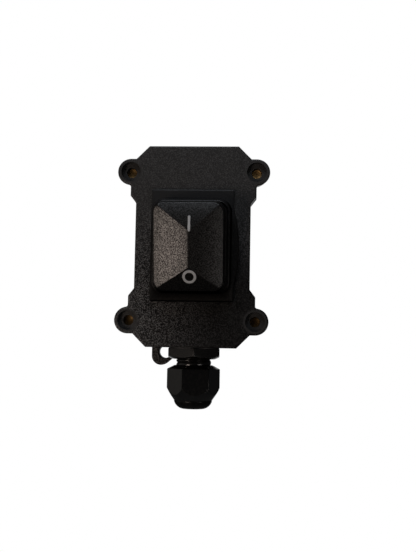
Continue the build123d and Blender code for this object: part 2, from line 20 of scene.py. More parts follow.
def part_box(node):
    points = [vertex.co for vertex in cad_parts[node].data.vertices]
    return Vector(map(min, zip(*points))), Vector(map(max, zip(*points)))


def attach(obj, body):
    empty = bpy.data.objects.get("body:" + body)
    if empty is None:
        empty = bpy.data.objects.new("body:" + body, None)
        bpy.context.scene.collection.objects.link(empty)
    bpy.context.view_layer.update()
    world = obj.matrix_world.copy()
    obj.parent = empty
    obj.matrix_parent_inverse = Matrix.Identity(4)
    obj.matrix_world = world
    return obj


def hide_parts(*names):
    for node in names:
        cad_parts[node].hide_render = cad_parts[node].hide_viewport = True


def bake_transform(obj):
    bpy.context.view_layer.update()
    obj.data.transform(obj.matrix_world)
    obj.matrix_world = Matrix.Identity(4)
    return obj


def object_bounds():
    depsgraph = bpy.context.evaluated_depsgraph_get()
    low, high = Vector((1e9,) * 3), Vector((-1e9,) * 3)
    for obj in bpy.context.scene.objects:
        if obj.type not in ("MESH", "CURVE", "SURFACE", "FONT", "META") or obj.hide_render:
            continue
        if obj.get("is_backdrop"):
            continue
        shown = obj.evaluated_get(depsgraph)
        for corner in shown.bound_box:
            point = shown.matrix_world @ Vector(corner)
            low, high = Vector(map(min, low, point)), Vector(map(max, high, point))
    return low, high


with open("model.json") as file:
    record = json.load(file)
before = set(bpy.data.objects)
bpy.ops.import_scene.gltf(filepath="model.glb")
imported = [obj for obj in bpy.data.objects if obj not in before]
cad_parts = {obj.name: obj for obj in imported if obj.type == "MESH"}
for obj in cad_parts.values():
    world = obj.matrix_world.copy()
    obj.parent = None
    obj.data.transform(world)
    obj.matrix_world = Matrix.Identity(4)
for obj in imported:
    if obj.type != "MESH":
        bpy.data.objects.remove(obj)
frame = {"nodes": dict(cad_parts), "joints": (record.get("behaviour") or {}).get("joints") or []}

MM = 0.001
TURN = 2.0 * math.pi
LEAST_CORNER = 0.15  # least corner radius of the boot's loops
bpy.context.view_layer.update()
log = logging.getLogger("rocker_switch")


class Ends(Enum):
    """How the two end rows of a grid of closed loops are finished."""

    JOINED = "last row meets the first"
    CAPPED = "each end row is filled by one face"


class Axis(Enum):
    """Coordinates of a place, as the nodes name them."""

    X = "X"
    Y = "Y"
    Z = "Z"


class Pole(Enum):
    """The two poles of the switch, as the solids' names end."""

    LEFT = "left"
    RIGHT = "right"

    @classmethod
    def both(cls, *kinds: str) -> list[str]:
        """Node names of both poles for each kind."""
        return [f"{kind}_{pole.value}" for kind in kinds for pole in cls]


Feed = Union["Signal", float, int, tuple]
Sizes = Union[np.ndarray, tuple, float]


@dataclass(frozen=True)
class Signal:
    """A node's output, which operators turn into Math nodes and methods into the other nodes."""

    graph: "Graph"
    socket: NodeSocket

    def _math(self, operation: str, first: Feed, second: Feed = 0.0) -> "Signal":
        """Adds one Math node for two signals or numbers."""
        return self.graph.node("ShaderNodeMath", {"operation": operation}, {0: first, 1: second})

    def __add__(self, other: Feed) -> "Signal":
        """Sum."""
        return self._math("ADD", self, other)

    __radd__ = __add__

    def __sub__(self, other: Feed) -> "Signal":
        """Difference."""
        return self._math("SUBTRACT", self, other)

    def __rsub__(self, other: Feed) -> "Signal":
        """Difference with the signal on the right."""
        return self._math("SUBTRACT", other, self)

    def __mul__(self, other: Feed) -> "Signal":
        """Product."""
        return self._math("MULTIPLY", self, other)

    __rmul__ = __mul__

    def __pow__(self, other: Feed) -> "Signal":
        """Power."""
        return self._math("POWER", self, other)

    def __abs__(self) -> "Signal":
        """Size without its sign."""
        return self._math("ABSOLUTE", self)

    def larger(self, other: Feed) -> "Signal":
        """The larger of two values."""
        return self._math("MAXIMUM", self, other)

    def between(self, low: float, high: float, unit: float = 1.0) -> "Signal":
        """Smooth step from 0 at low to 1 at high, both given in a unit."""
        inputs = {0: self, 1: low * unit, 2: high * unit, 3: 0.0, 4: 1.0}
        return self.graph.node("ShaderNodeMapRange", {"interpolation_type": "SMOOTHSTEP"}, inputs)

    def axis(self, axis: Axis) -> "Signal":
        """One coordinate of a place."""
        return self.graph.node("ShaderNodeSeparateXYZ", {}, {0: self}, axis.value)

    def noise(self, grain: float, detail: float) -> "Signal":
        """Soft noise over a place, from 0 to 1, with patches about one grain wide and octaves of detail."""
        inputs = {"Vector": self, "Scale": 1.0 / (grain * MM), "Detail": detail, "Roughness": 0.6}
        return self.graph.node("ShaderNodeTexNoise", {}, inputs)

    def tint(self, low: Feed, high: Feed) -> "Signal":
        """Colour from low, where the signal is 0, to high, where it is 1."""
        ends = [end if isinstance(end, Signal) else (*end, 1.0) for end in (low, high)]
        return self.graph.node("ShaderNodeMix", {"data_type": "RGBA"}, {0: self, 6: ends[0], 7: ends[1]}, 2)

    def bump(self, depth: float) -> "Signal":
        """Normal bent by the signal, a height from 0 to 1, over a relief of the given depth."""
        inputs = {"Strength": 1.0, "Distance": depth * MM, "Height": self}
        return self.graph.node("ShaderNodeBump", {}, inputs)


class Graph:
    """The node tree of one material or world and the single way to add a node to it."""

    def __init__(self, owner: Union[Material, World]) -> None:
        """Starts an empty tree with its output.

        Args:
            owner: the material or world.
        """
        owner.use_nodes = True
        self.owner = owner
        self.tree = owner.node_tree
        self.tree.nodes.clear()
        is_world = isinstance(owner, World)
        self.output = self.tree.nodes.new("ShaderNodeOutputWorld" if is_world else "ShaderNodeOutputMaterial")

    @classmethod
    def material(cls, name: str) -> "Graph":
        """Starts an empty material."""
        return cls(bpy.data.materials.new(name))

    def node(self, kind: str, settings: dict, inputs: dict, out: Union[int, str] = 0) -> Signal:
        """Adds a node, sets it up and feeds its sockets.

        Args:
            kind: the node's type.
            settings: the node's own settings.
            inputs: socket name or number to a signal or a fixed value.
            out: which output to hand back.
        Returns:
            That output.
        """
        made = self.tree.nodes.new(kind)
        for key, value in settings.items():
            setattr(made, key, value)
        for key, value in inputs.items():
            if isinstance(value, Signal):
                self.tree.links.new(value.socket, made.inputs[key])
            else:
                made.inputs[key].default_value = value
        return Signal(self, made.outputs[out])

    def place(self) -> Signal:
        """The point's place on the piece, in metres."""
        return self.node("ShaderNodeTexCoord", {}, {}, "Object")

    def attribute(self, name: str) -> Signal:
        """A number that the mesh carries at each point."""
        return self.node("ShaderNodeAttribute", {"attribute_name": name}, {}, "Fac")

    def close(self, shader: Signal) -> None:
        """Leads a shader to the tree's output."""
        self.tree.links.new(shader.socket, self.output.inputs["Surface"])

    def surface(self, inputs: dict) -> Material:
        """Closes the material with one Principled shader."""
        self.close(self.node("ShaderNodeBsdfPrincipled", {}, inputs))
        return self.owner


@dataclass(frozen=True)
class Grained:
    """Plastic or rubber: pale peaks of grain and broad patches in the colour, and a relief of pebbles."""

    name: str
    low: tuple
    high: tuple
    roughness: float
    grain: float
    depth: float
    gloss: float = 0.3
    peak_window: tuple = (0.43, 0.68)
    patch_size: float = 22.0
    patch_detail: float = 1.0
    patch_share: float = 0.05
    rough_spread: float = 0.08

    def peaks(self, place: Signal) -> Signal:
        """The grain's peaks, from 0 to 1."""
        return place.noise(self.grain, 1.0).between(*self.peak_window)

    def relief(self, place: Signal) -> Signal:
        """Height of the pebbles, from 0 to 1."""
        return place.noise(self.grain, 2.0)

    def wear(self, place: Signal, peaks: Signal, broad: Signal, colour: Signal) -> dict:
        """Shader inputs that a kind of finish adds or changes."""
        return {}

    def make(self) -> Material:
        """Mixes the peaks and the patches into the colour, and the patches into the roughness.

        Returns:
            The finished material.
        """
        graph = Graph.material(self.name)
        place = graph.place()
        peaks = self.peaks(place)
        broad = place.noise(self.grain * self.patch_size, self.patch_detail)
        pale = peaks * (1.0 - self.patch_share) + broad * self.patch_share
        colour = pale.tint(self.low, self.high)
        return graph.surface({
            "Base Color": colour,
            "Roughness": broad * self.rough_spread + (self.roughness - self.rough_spread / 2),
            "Specular IOR Level": self.gloss,
            "Normal": self.relief(place).bump(self.depth),
            **self.wear(place, peaks, broad, colour),
        })


@dataclass(frozen=True, kw_only=True)
class CasePlastic(Grained):
    """Plastic with peaks of grain and painted glints, calmer at the top and four screw seats, painted shade at
    the lower right.
    """

    seat_x: float
    seat_z: float
    seat_r: float
    seat_fade: float = 1.35
    seat_share: float = 0.8
    calm: float = 0.3
    calm_share: float = 0.7
    calm_up: tuple = (-14.0, 20.0)
    # painted shade: how far the peaks fall off towards the lower right, and where across
    lower_right_shade: float = 0.82
    lower_right_shade_across: tuple = (-20.0, 10.0)
    shine: float = 0.55
    shine_roughness: float = 0.4

    def peaks(self, place: Signal) -> Signal:
        """Pulls the grain's peaks towards the calm level, after lowering them towards the lower right as
        painted shade.

        Args:
            place: the point's place.
        Returns:
            The faded peaks.
        """
        across, up = place.axis(Axis.X), place.axis(Axis.Z)
        rise, painted_shade_share = up.between(*self.calm_up, MM), across.between(*self.lower_right_shade_across, MM)
        # painted shade: the peaks fall off towards the right of the lower half
        peaks = super().peaks(place) * (1.0 - painted_shade_share * (1.0 - rise) ** 2.0 * self.lower_right_shade)
        peaks = peaks + rise * (self.calm - peaks) * self.calm_share
        away_x, away_z = abs(across) - self.seat_x * MM, abs(up) - self.seat_z * MM
        away = (away_x * away_x + away_z * away_z) ** 0.5
        seat = 1.0 - away.between(self.seat_r, self.seat_fade * self.seat_r, MM)
        return peaks + seat * (self.calm - peaks) * self.seat_share

    def wear(self, place: Signal, peaks: Signal, broad: Signal, colour: Signal) -> dict:
        """A coat on the peaks."""
        return {"Coat Weight": peaks * self.shine, "Coat Roughness": self.shine_roughness}


@dataclass(frozen=True, kw_only=True)
class GlandPlastic(Grained):
    """Plastic under a glossy skin that is thick above a height and thin below it."""

    skin_up: tuple
    thick: float = 0.62
    thin: float = 0.12
    skin_roughness: float = 0.18

    def wear(self, place: Signal, peaks: Signal, broad: Signal, colour: Signal) -> dict:
        """The skin as a coat."""
        skin = place.axis(Axis.Z).between(*self.skin_up, MM) * (self.thick - self.thin) + self.thin
        return {"Coat Weight": skin, "Coat Roughness": self.skin_roughness}


@dataclass(frozen=True)
class Rubber(Grained):
    """Matt rubber with a sandy grain, which is its relief too."""

    peak_window: tuple = (0.36, 0.68)
    patch_size: float = 30.0
    patch_detail: float = 2.0
    patch_share: float = 0.2
    rough_spread: float = 0.1

    def relief(self, place: Signal) -> Signal:
        """Height of the sand, from 0 to 1."""
        return self.peaks(place)


@dataclass(frozen=True)
class BootRubber(Rubber):
    """Rubber with sand, painted shade and a painted right-side sheen from the mesh, and a painted paler,
    shinier top.
    """

    shine: float = 0.27
    shine_roughness: float = 0.3
    sand_gain: float = 1.65
    sand_least: float = 0.2
    # painted light from above: a sheen and a paler colour towards the top
    sheen: float = 0.22
    painted_top_colour: tuple = (0.0068, 0.007, 0.0075)
    painted_top_least: float = 0.6
    painted_top_up: tuple = (4.0, 17.0)
    # the colour of the painted shade
    painted_shade_colour: tuple = (0.0001,) * 3

    def wear(self, place: Signal, peaks: Signal, broad: Signal, colour: Signal) -> dict:
        """Coats the sand and the painted top light; painted shade takes away the colour and all of the shine.

        Args:
            place: the point's place.
            peaks: the fine sand.
            broad: the broad patches.
            colour: the clean rubber's colour.
        Returns:
            Socket names to signals and values.
        """
        sandy, painted_shade = place.graph.attribute("sand"), place.graph.attribute("shade")
        # painted light from above: paler and shinier towards the top, away from the sand
        painted_top_light = place.axis(Axis.Z).between(*self.painted_top_up, MM) * (1.0 - sandy)
        weight = sandy * (peaks * self.sand_gain + self.sand_least) * self.shine + painted_top_light * self.sheen
        painted_top_pale = painted_top_light * (broad * (1.0 - self.painted_top_least) + self.painted_top_least)
        # painted shade: where the mesh's shade is 1, the colour goes to near black and Metallic takes away the
        # reflection
        return {
            "Base Color": painted_shade.tint(painted_top_pale.tint(colour, self.painted_top_colour), self.painted_shade_colour),
            "Metallic": painted_shade,
            "Coat Weight": weight * (1.0 - painted_shade),
            "Coat Roughness": self.shine_roughness,
        }


@dataclass(frozen=True)
class Worn:
    """A surface in two shades, fresh and worn, by patches of a noise. As it stands it is printed paint."""

    name: str
    fresh: tuple
    worn: tuple
    roughness: float
    grain: float
    patch_size: float = 1.0
    wear_window: tuple = (0.45, 0.8)
    worn_roughness: float = 0.2
    gloss: float = 0.3

    def kind(self, place: Signal) -> dict:
        """Shader inputs that tell paint from metal."""
        return {"Specular IOR Level": self.gloss}

    def make(self) -> Material:
        """Mixes the wear into the colour and the roughness.

        Returns:
            The finished material.
        """
        graph = Graph.material(self.name)
        place = graph.place()
        wear = place.noise(self.grain * self.patch_size, 3.0).between(*self.wear_window)
        return graph.surface({
            "Base Color": wear.tint(self.fresh, self.worn),
            "Roughness": wear * self.worn_roughness + self.roughness,
            **self.kind(place),
        })


@dataclass(frozen=True)
class TurnedMetal(Worn):
    """Bare metal with slight staining, and with fine tool marks as its grain."""

    patch_size: float = 12.0
    wear_window: tuple = (0.35, 0.7)
    mark_depth: float = 0.03

    def kind(self, place: Signal) -> dict:
        """Bare metal with the marks as its relief."""
        marks = place.noise(self.grain, 2.0).bump(self.grain * self.mark_depth)
        return {"Metallic": 1.0, "Normal": marks}


def round_angles(count: int) -> np.ndarray:
    """Evenly spaced angles once round a circle."""
    return np.linspace(0.0, TURN, count, endpoint=False)


def mix(start: Sizes, end: Sizes, share: Sizes) -> Sizes:
    """Values on the straight way from start, where the share is 0, to end, where it is 1."""
    return start + (end - start) * share


def loops_to_object(name: str, points: np.ndarray, ends: Ends, crease: float) -> Object:
    """Turns rows of closed loops into a closed mesh.

    Neighbouring rows and columns are joined by quads all the way round. The sign of the volume that they
    enclose tells whether they have to be turned over.

    Args:
        name: the piece's name.
        points: places in millimetres, shaped rows by columns by 3.
        ends: how the first and last rows are closed.
        crease: edges sharper than this many degrees are shaded as edges.
    Returns:
        The object, at the origin, with its place in its mesh.
    """
    rows, columns = points.shape[:2]
    index = np.arange(rows * columns).reshape(rows, columns)
    if ends is Ends.JOINED:
        index = np.vstack([index, index[:1]])
    beside = np.roll(index, -1, axis=1)
    quads = np.stack([index[:-1], beside[:-1], beside[1:], index[1:]], axis=-1).reshape(-1, 4)
    corners = points.reshape(-1, 3)
    a, b, c, d = (corners[quads[:, i]] for i in range(4))
    inside_out = np.sum(a * (np.cross(b, c) + np.cross(c, d))) < 0.0
    if inside_out:
        quads = quads[:, ::-1]
    faces = quads.tolist()
    if ends is Ends.CAPPED:
        caps = [index[0][::-1], index[-1]]
        faces += [(cap[::-1] if inside_out else cap).tolist() for cap in caps]
    mesh = bpy.data.meshes.new(name)
    mesh.from_pydata((corners * MM).tolist(), [], faces)
    mesh.polygons.foreach_set("use_smooth", np.ones(len(mesh.polygons), dtype=bool))
    mesh.set_sharp_from_angle(angle=math.radians(crease))
    mesh.update()
    made = bpy.data.objects.new(name, mesh)
    bpy.context.scene.collection.objects.link(made)
    return made


def paint(piece: Object, material: Material) -> None:
    """Gives every face of a piece one material and reports it.

    Args:
        piece: the piece.
        material: its material.
    """
    piece.data.materials.clear()
    piece.data.materials.append(material)
    log.info("%s: %s", piece.name, material.name)


def dress_nodes(material: Material, *nodes: str) -> None:
    """Gives carried-over solids one material."""
    for node in nodes:
        paint(frame["nodes"][node], material)


@dataclass
class Case:
    """Front cover, rear box, their seal, the inserts and the brass plugs that close the inserts' threads.

    A plug is given by its side, its end and a brightness that scales its colour, as painted light and painted
    shade.
    """

    insert_top: float
    ear_x: float = 21.1
    ear_z: float = 24.9
    seat_r: float = 3.3
    head_r: float = 1.72
    head_high: float = 0.35
    head_edge: float = 0.12
    head_dish: float = 0.22
    head_hub: float = 0.05
    shank_r: float = 1.24
    shank_long: float = 4.0
    face_rings: int = 12
    edge_rings: int = 6
    columns: int = 48
    crease: float = 50.0
    # the third value lights or shades each plug's brass: painted light above 1, painted shade below 1
    plugs: tuple = ((-1, 1, 0.55), (1, 1, 1.5), (-1, -1, 0.27), (1, -1, 0.22))
    # brass colours far below bright brass: painted shade of the deep screw holes
    shaded_brass_bright: tuple = (0.08, 0.05, 0.02)
    shaded_brass_stained: tuple = (0.058, 0.035, 0.014)

    def brass(self, name: str, shine: float) -> Material:
        """Brass with its colour kept low as painted shade of the holes, scaled by a brightness as painted
        light and shade.
        """
        bright, stained = (tuple(np.array(end) * shine) for end in (self.shaded_brass_bright, self.shaded_brass_stained))
        return TurnedMetal(name, bright, stained, roughness=0.4, grain=0.12).make()

    def build_plugs(self) -> None:
        """Turns and dresses the plugs: a dished face, a rounded edge, the head's underside and the shank.

        The dish deepens towards the middle with the square of the radius, and the edge is a quarter circle.
        """
        angle = round_angles(self.columns)
        face_r = self.head_r - self.head_edge
        across = np.linspace(self.head_hub, 1.0, self.face_rings)
        turn = np.linspace(0.0, TURN / 4, self.edge_rings)[1:]
        edge_r = face_r + self.head_edge * np.sin(turn)
        edge_deep = self.head_edge * (1.0 - np.cos(turn))
        radius = np.concatenate([face_r * across, edge_r, [self.head_r, self.shank_r, self.shank_r]])[:, None]
        dish = self.head_dish * (1.0 - across ** 2)
        shank = [self.head_high, self.head_high, self.head_high + self.shank_long]
        deep = np.concatenate([dish, edge_deep, shank])[:, None]
        out = deep - self.head_high - self.insert_top + 0.0 * angle
        for number, (side, end, shine) in enumerate(self.plugs, 1):
            x, z = side * self.ear_x + radius * np.cos(angle), end * self.ear_z + radius * np.sin(angle)
            points = np.stack([x, out, z], axis=-1)
            plug = loops_to_object(f"thread_plug_{number}", points, Ends.CAPPED, self.crease)
            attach(plug, "case")
            paint(plug, self.brass(f"plug_brass_{number}", shine))

    def build(self) -> None:
        """Dresses the case, its seal and the inserts, and builds and dresses the plugs."""
        shell = CasePlastic(
            "case_grain", low=(0.0003,) * 3, high=(0.046, 0.0453, 0.0452), roughness=0.42,
            grain=0.3, depth=0.04, gloss=0.03, seat_x=self.ear_x, seat_z=self.ear_z, seat_r=self.seat_r,
        )
        seal = Rubber("seal_rubber", (0.03,) * 3, (0.06,) * 3, roughness=0.7, grain=0.3, depth=0.02)
        dress_nodes(shell.make(), "front_cover", "rear_box")
        dress_nodes(seal.make(), "cover_seal")
        dress_nodes(self.brass("insert_brass", 1.0), "brass_inserts")
        self.build_plugs()


@dataclass(frozen=True)
class Loops:
    """Rounded rectangles that follow one another along the boot's section.

    Each value is given for all loops or loop by loop. Shift moves a loop along Z and lean along X. Bow, roof
    and rim are 1 where a loop bows out with the flange, lies on the roof or rises with the roof's lowest
    loop. The last three are painted shade on the lower side, and painted shade and a painted sheen on the
    right side.
    """

    half_wide: Sizes
    half_long: Sizes
    radius: Sizes
    high: Sizes = 0.0
    shift: Sizes = 0.0
    lean: Sizes = 0.0
    bow: Sizes = 0.0
    roof: Sizes = 0.0
    rim: Sizes = 0.0
    low_shade: Sizes = 0.0
    right_shade: Sizes = 0.0
    rub: Sizes = 0.0

    def grown(self, grow: Sizes, high: Sizes, **more: Sizes) -> "Loops":
        """Loops outside this one by an amount, at a height over the cover, with corners that stay round."""
        radius = np.maximum(self.radius + grow, LEAST_CORNER)
        return Loops(self.half_wide + grow, self.half_long + grow, radius, high, **more)

    @classmethod
    def joined(cls, parts: list["Loops"]) -> "Loops":
        """All loops of several parts in order, with each value as a column."""
        rows = [np.column_stack(np.broadcast_arrays(*map(np.atleast_1d, astuple(part)))) for part in parts]
        return cls(*np.concatenate(rows).T[..., None])


@dataclass
class RockerBoot:
    """One-piece rubber boot: bowed flange, bead, groove and the rocking cap with its two marks.

    The boot is worked out upright, then bent: the further a point stands out from the cover, the more it
    turns with the rocker.
    """

    pivot_out: float
    cover_face: float
    rest_tilt: float = -12.0
    bend: tuple = (1.5, 9.0)
    crease: float = 28.0
    per_corner: int = 13
    per_side: int = 22

    flange: Loops = Loops(13.75, 18.65, 0.45)
    flange_high: float = 1.5
    flange_edge: float = 0.3
    flange_low: tuple = (0.1, 0.02)
    flange_rings: int = 5
    bow: float = 1.8
    bow_span: tuple = (-13.75, 12.15)
    bow_power: float = 4.0

    bead: Loops = Loops(12.8, 15.35, 4.0)
    bead_top: float = 5.1
    bead_round: float = 0.5
    bead_shift: float = -0.75
    bead_lean: float = -0.15
    bead_rings: int = 11
    skirt_drop: float = 0.3
    skirt_end: float = 2.3
    skirt_flare: float = 0.08
    skirt_rings: int = 5
    skirt_shift: float = 0.7
    foot_grow: tuple = (0.1, 0.2, 0.4)
    foot_high: tuple = (1.95, 1.65, 1.5)
    foot_shift: float = 0.4

    cap: Loops = Loops(11.3, 14.2, 3.4)
    cap_base: float = 4.7
    cap_lean: float = -0.4
    groove_in: float = 0.05
    wall_gap: float = 0.4
    wall_draught: float = 0.1
    wall_rings: int = 10
    rim_top: float = 12.2
    rim_round: float = 0.6
    rim_from: float = 80.0
    rim_gap: float = 0.02
    rim_rings: int = 7
    ridge: Loops = Loops(0.1, 5.85, 0.08)
    ridge_shift: float = -0.55
    ridge_lean: float = -0.1
    roof_rise: float = 2.8
    roof_crown: float = 0.3
    roof_rings: int = 26
    hip_power: float = 6.0

    wall: float = 0.95
    mouth_in: float = 1.25
    mouth_high: tuple = (0.02, 1.1)
    inner_from: float = 1.15
    inner_drop: float = 0.9
    inner_step: float = 0.3
    inner_roof_in: float = 0.1
    inner_rings: int = 6

    # painted sheen on the right side (the first two), and painted shade on the cap's lower side, at the foot
    # and at the flange's edge (the rest)
    rub: float = 0.9
    flange_rub: float = 0.3
    low_dim: float = 0.4
    foot_low_shade: tuple = (1.0, 1.0, 0.65)
    foot_right_shade: tuple = (1.0, 1.0, 0.0)
    edge_light: float = 0.1

    bar_place: tuple = (0.1, 7.5)
    bar_half: tuple = (0.4, 2.45)
    bar_drawn: float = 0.04
    bar_tip: float = 0.25
    bar_rings: int = 25
    ring_place: tuple = (0.2, -9.4)
    ring_reach: float = 1.8
    ring_half: float = 0.4
    ring_rings: int = 64
    mark_half_thick: float = 0.06
    mark_columns: int = 24
    mark_crease: float = 40.0

    def columns(self) -> tuple[np.ndarray, np.ndarray]:
        """Column pattern of a rounded rectangle.

        Each corner has an arc of columns and each side has evenly spaced ones. A column stands at
        (corner centre) * hold + radius * lean: on an arc, hold is fixed and lean turns; on a side, hold
        runs from one corner to the next and lean is fixed.

        Returns:
            hold and lean, each shaped columns by 2.
        """
        corner = np.array([(1, 1), (-1, 1), (-1, -1), (1, -1)], float)[:, None]
        along = np.linspace(0.0, 1.0, self.per_side + 2)[1:-1]
        share = np.concatenate([np.zeros(self.per_corner), along])[:, None]
        angle = np.linspace(0.0, TURN / 4, self.per_corner) + np.arange(4)[:, None] * TURN / 4
        angle = np.hstack([angle, np.repeat(angle[:, -1:], self.per_side, axis=1)])
        hold = corner + share * (np.roll(corner, -1, axis=0) - corner)
        lean = np.stack([np.cos(angle), np.sin(angle)], axis=-1)
        return hold.reshape(-1, 2), lean.reshape(-1, 2)

    def crest(self) -> float:
        """Height of the middle of the bead's round."""
        return self.bead_top - self.bead_round

    def rim_low(self) -> float:
        """Height where the rim's round ends on the cap's wall."""
        return self.rim_top - self.rim_round * math.sin(math.radians(self.rim_from))

    def hipped(self, inset: float, drop: float, share: np.ndarray, lean: float, **more: Sizes) -> Loops:
        """Loops between rim and ridge, whose corner radius falls off with a power of the way up.

        Args:
            inset: how far the loop at the rim stays inside the cap.
            drop: how far the loops lie below the roof.
            share: way up, 0 at the rim and 1 at the ridge.
            lean: lean of the loop at the rim.
            more: the loops' other values.
        Returns:
            One loop for each share.
        """
        low, ridge = self.cap.grown(-inset, 0.0), self.ridge
        return Loops(
            mix(low.half_wide, ridge.half_wide, share),
            mix(low.half_long, ridge.half_long, share),
            mix(ridge.radius, low.radius, (1.0 - share) ** self.hip_power),
            self.rim_top - drop + self.roof_rise * share,
            shift=self.ridge_shift * share, lean=mix(lean, self.ridge_lean, share), **more,
        )

    def cap_loops(self) -> list[Loops]:
        """Works out the roof, the rim's round, the wall and the groove at its foot.

        Returns:
            The loops from the ridge down.
        """
        round_off = np.radians(np.linspace(self.rim_from, 0.0, self.rim_rings))
        rim_grow = self.rim_round * (np.cos(round_off) - 1.0)
        rim_high = self.rim_low() + self.rim_round * np.sin(round_off)
        up, down = np.linspace(1.0, 0.0, self.roof_rings), np.linspace(0.0, 1.0, self.wall_rings)
        wall_top, wall_end = self.rim_low() - self.wall_gap, self.cap_base + self.wall_gap
        lean, dim = self.cap_lean, self.low_dim
        return [
            self.hipped(self.rim_gap - rim_grow[0], 0.0, up, lean, roof=1.0, low_shade=dim),
            self.cap.grown(rim_grow, rim_high, lean=lean, rim=1.0, low_shade=dim),
            self.cap.grown(
                -self.wall_draught * down, mix(wall_top, wall_end, down),
                lean=mix(lean, self.bead_lean, down), low_shade=mix(dim, 1.0, down), rub=1.0,
            ),
            self.cap.grown(
                -self.groove_in, self.cap_base, shift=self.bead_shift * self.skirt_shift, lean=self.bead_lean,
                low_shade=1.0, rub=1.0,
            ),
        ]

    def bead_loops(self) -> list[Loops]:
        """Works out the bead's half round, its outer side and its foot on the flange.

        Returns:
            The loops from the groove outwards.
        """
        over, down = np.linspace(0.0, 1.0, self.bead_rings), np.linspace(0.0, 1.0, self.skirt_rings)
        turn = TURN / 2 * (1.0 - over)
        skirt_top = self.crest() - self.skirt_drop
        return [
            self.bead.grown(
                self.bead_round * (np.cos(turn) - 1.0), self.crest() + self.bead_round * np.sin(turn),
                shift=self.bead_shift, lean=self.bead_lean, low_shade=1.0, rub=1.0 - over,
            ),
            self.bead.grown(
                self.skirt_flare * down, mix(skirt_top, self.skirt_end, down),
                shift=self.bead_shift * self.skirt_shift, lean=self.bead_lean, low_shade=1.0, right_shade=1.0,
            ),
            self.bead.grown(
                np.array(self.foot_grow), self.foot_high, shift=self.bead_shift * self.foot_shift,
                low_shade=self.foot_low_shade, right_shade=self.foot_right_shade, rub=self.flange_rub,
            ),
        ]

    def flange_loops(self) -> list[Loops]:
        """Works out the flange's face, its rounded edge and its side.

        Returns:
            The loops from the face down to the cover.
        """
        turn = np.linspace(TURN / 4, 0.0, self.flange_rings)
        edge_grow = self.flange_edge * (np.cos(turn) - 1.0)
        edge_high = self.flange_high - self.flange_edge * (1.0 - np.sin(turn))
        edge_shade = 1.0 - self.edge_light * np.sin(turn)
        return [
            self.flange.grown(-2.0 * self.flange_edge, self.flange_high, bow=1.0, rub=self.flange_rub),
            self.flange.grown(edge_grow, edge_high, bow=1.0, low_shade=edge_shade),
            self.flange.grown(0.0, self.flange_low, bow=1.0, low_shade=1.0),
        ]

    def inner_loops(self) -> list[Loops]:
        """Works out the inside.

        Returns:
            The loops from the mouth in the cover up to the underside of the ridge.
        """
        low, top = self.crest() - 2.0 * self.inner_step, self.rim_low() - self.inner_step
        up = np.linspace(0.0, 1.0, self.inner_rings)
        return [
            self.cap.grown(-self.mouth_in, self.mouth_high),
            self.bead.grown(-self.wall, (self.inner_from, self.crest() - self.inner_drop)),
            self.cap.grown(-self.wall, np.linspace(low, top, self.inner_rings)),
            self.hipped(self.wall + self.inner_roof_in, self.wall, up, 0.0),
        ]

    def bent(self, upright: np.ndarray, share: np.ndarray) -> np.ndarray:
        """Turns upright points about the pivot by a share of the rest tilt.

        Args:
            upright: X, Z and height above the cover.
            share: how much of the tilt each point takes.
        Returns:
            Places in the part's frame.
        """
        angle = np.radians(self.rest_tilt) * share
        out = upright[..., 2] + self.cover_face - self.pivot_out
        up = upright[..., 1] * np.cos(angle) + out * np.sin(angle)
        away = out * np.cos(angle) - upright[..., 1] * np.sin(angle)
        return np.stack([upright[..., 0], -(self.pivot_out + away), up], axis=-1)

    def roof_height(self, x: np.ndarray, y: np.ndarray) -> np.ndarray:
        """Height of the hipped roof: the lowest of its four planes, slightly crowned between rim and ridge.

        Args:
            x: across the cap.
            y: along the cap.
        Returns:
            Height above the cover for an upright boot.
        """
        wide, long = self.cap.half_wide, self.cap.half_long
        ridge_wide, ridge_long = self.ridge.half_wide, self.ridge.half_long
        left = (x + wide - self.cap_lean) / (wide - ridge_wide - self.cap_lean + self.ridge_lean)
        right = (wide + self.cap_lean - x) / (wide - ridge_wide + self.cap_lean - self.ridge_lean)
        upper = (long - y) / (long - ridge_long - self.ridge_shift)
        lower = (long + y) / (long - ridge_long + self.ridge_shift)
        share = np.clip(np.minimum.reduce([left, right, upper, lower]), 0.0, 1.0)
        return self.rim_top + self.roof_rise * share * (1.0 + self.roof_crown * (1.0 - share))

    def build_boot(self) -> Object:
        """Carries the section round the rounded rectangle, bows the flange's right side and bends the boot.

        The bow is a parabola along the side. The share of the bend is a smooth step of the height. Sand grows
        with the square of that share, plus painted sheen on the right; painted shade keeps to the lower and
        right sides.

        Returns:
            The boot, bent between the case and the rocker.
        """
        hold, turn = self.columns()
        parts = self.cap_loops() + self.bead_loops() + self.flange_loops() + self.inner_loops()
        section = Loops.joined(parts)
        x = hold[:, 0] * (section.half_wide - section.radius) + turn[:, 0] * section.radius
        z = hold[:, 1] * (section.half_long - section.radius) + turn[:, 1] * section.radius
        (bow_low, bow_high), (bend_low, bend_high) = self.bow_span, self.bend
        along = np.clip((z - bow_low) / (bow_high - bow_low), 0.0, 1.0)
        right = np.clip(x / self.flange.half_wide, 0.0, 1.0) ** self.bow_power
        x = x + section.lean + section.bow * right * self.bow * (1.0 - (2.0 * along - 1.0) ** 2)
        z = z + section.shift
        high = np.where(section.roof > 0.0, self.roof_height(x, z), section.high)
        eaves = high[np.flatnonzero(section.roof)[-1]]
        high = high + section.rim * (eaves - eaves.min())
        step = np.clip((high - bend_low) / (bend_high - bend_low), 0.0, 1.0)
        share = step * step * (3.0 - 2.0 * step)
        bent = self.bent(np.stack([x, z, high], axis=-1), share)
        boot = loops_to_object("boot", bent, Ends.CAPPED, self.crease)
